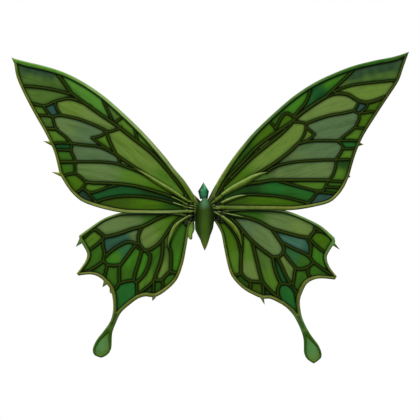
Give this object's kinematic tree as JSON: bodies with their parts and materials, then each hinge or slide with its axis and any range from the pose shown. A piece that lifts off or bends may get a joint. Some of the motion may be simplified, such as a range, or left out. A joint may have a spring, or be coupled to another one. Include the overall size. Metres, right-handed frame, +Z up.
{
  "type": "wearable fairy wings",
  "caption": "Butterfly-shaped costume wings with veined, tinted panes and tailed hindwings that fold on hinges beside a spindle body, on a padded back plate with elastic shoulder loops.",
  "frame": {"origin": "middle of the back pad's face that rests on the wearer", "axes": "+Y out of the back pad towards the wearer, +Z up, +X to the right of someone looking at the wings' decorated side; the wings lie close to the X-Z plane when spread"},
  "size_m": [0.796, 0.1607, 0.624],
  "materials": {
    "stem_rim": "glossy, leaf-stem green",
    "vein_web": "satin, dark olive",
    "spar_blade": "satin, light leaf green",
    "pane_grass": "tinted film, painted shading",
    "pane_lime": "tinted film, painted shading",
    "pane_sage": "tinted film, painted shading",
    "pane_moss": "tinted film, painted shading",
    "pane_emerald": "tinted film, painted shading",
    "tail_paddle": "tinted, soft shading",
    "hinge_leaf": "dark green",
    "steel": "plated",
    "black_steel": "blackened",
    "elastic": "woven elastic, dark green",
    "root_leaflet": "satin, light leaf green",
    "back_plate": "fine grain, dark green",
    "back_pad": "soft mesh cloth over foam",
    "root_ribs": "satin, dark olive",
    "body_shell": "satin, shaded olive to sage",
    "finial": "faceted, teal",
    "bumper": "soft",
    "slider": "black"
  },
  "bodies": {
    "root": {"back_plate": "back_plate", "back_pad": "back_pad", "hinge_block": "hinge_leaf", "root_ribs": "root_ribs", "body_shell": "body_shell", "head_finial": "finial", "left_hinge_pin": "steel", "right_hinge_pin": "steel", "plate_screws": "steel", "shell_screws": "steel", "rest_bumpers": "bumper", "left_strap": "elastic", "right_strap": "elastic", "strap_rivets": "steel", "strap_sliders": "slider"},
    "left_forewing": {"left_forewing_leaf": "hinge_leaf", "left_forewing_rim": "stem_rim", "left_forewing_veins": "vein_web", "left_forewing_spars": "spar_blade", "left_forewing_front_panes": "pane_grass", "left_forewing_outer_panes": "pane_lime", "left_forewing_lower_panes": "pane_sage", "left_forewing_screws": "black_steel", "left_catch_hooks": "hinge_leaf"},
    "right_forewing": {"right_forewing_leaf": "hinge_leaf", "right_forewing_rim": "stem_rim", "right_forewing_veins": "vein_web", "right_forewing_spars": "spar_blade", "right_forewing_front_panes": "pane_grass", "right_forewing_outer_panes": "pane_lime", "right_forewing_lower_panes": "pane_sage", "right_forewing_screws": "black_steel", "right_catch_hooks": "hinge_leaf"},
    "left_hindwing": {"left_hindwing_leaf": "hinge_leaf", "left_hindwing_rim": "stem_rim", "left_hindwing_veins": "vein_web", "left_hindwing_spars": "spar_blade", "left_hindwing_upper_panes": "pane_moss", "left_hindwing_lower_panes": "pane_emerald", "left_hindwing_screws": "black_steel", "left_tail_paddle": "tail_paddle", "left_root_leaflet": "root_leaflet"},
    "right_hindwing": {"right_hindwing_leaf": "hinge_leaf", "right_hindwing_rim": "stem_rim", "right_hindwing_veins": "vein_web", "right_hindwing_spars": "spar_blade", "right_hindwing_upper_panes": "pane_moss", "right_hindwing_lower_panes": "pane_emerald", "right_hindwing_screws": "black_steel", "right_tail_paddle": "tail_paddle"}
  },
  "joints": [
    {"name": "left_forewing_fold", "type": "hinge", "parent": "root", "child": "left_forewing", "pos_m": [-0.027, -0.0185, 0], "axis": [0, 0, 1], "range_deg": [0, 75]},
    {"name": "left_hindwing_fold", "type": "hinge", "parent": "root", "child": "left_hindwing", "pos_m": [-0.027, -0.0185, 0], "axis": [0, 0, 1], "range_deg": [0, 75]},
    {"name": "right_forewing_fold", "type": "hinge", "parent": "root", "child": "right_forewing", "pos_m": [0.027, -0.0185, 0], "axis": [0, 0, -1], "range_deg": [0, 75]},
    {"name": "right_hindwing_fold", "type": "hinge", "parent": "root", "child": "right_hindwing", "pos_m": [0.027, -0.0185, 0], "axis": [0, 0, -1], "range_deg": [0, 75]}
  ],
  "couplings": [
    {"joint": "left_hindwing_fold", "follows": "left_forewing_fold", "ratio": 1},
    {"joint": "right_hindwing_fold", "follows": "right_forewing_fold", "ratio": 1}
  ]
}
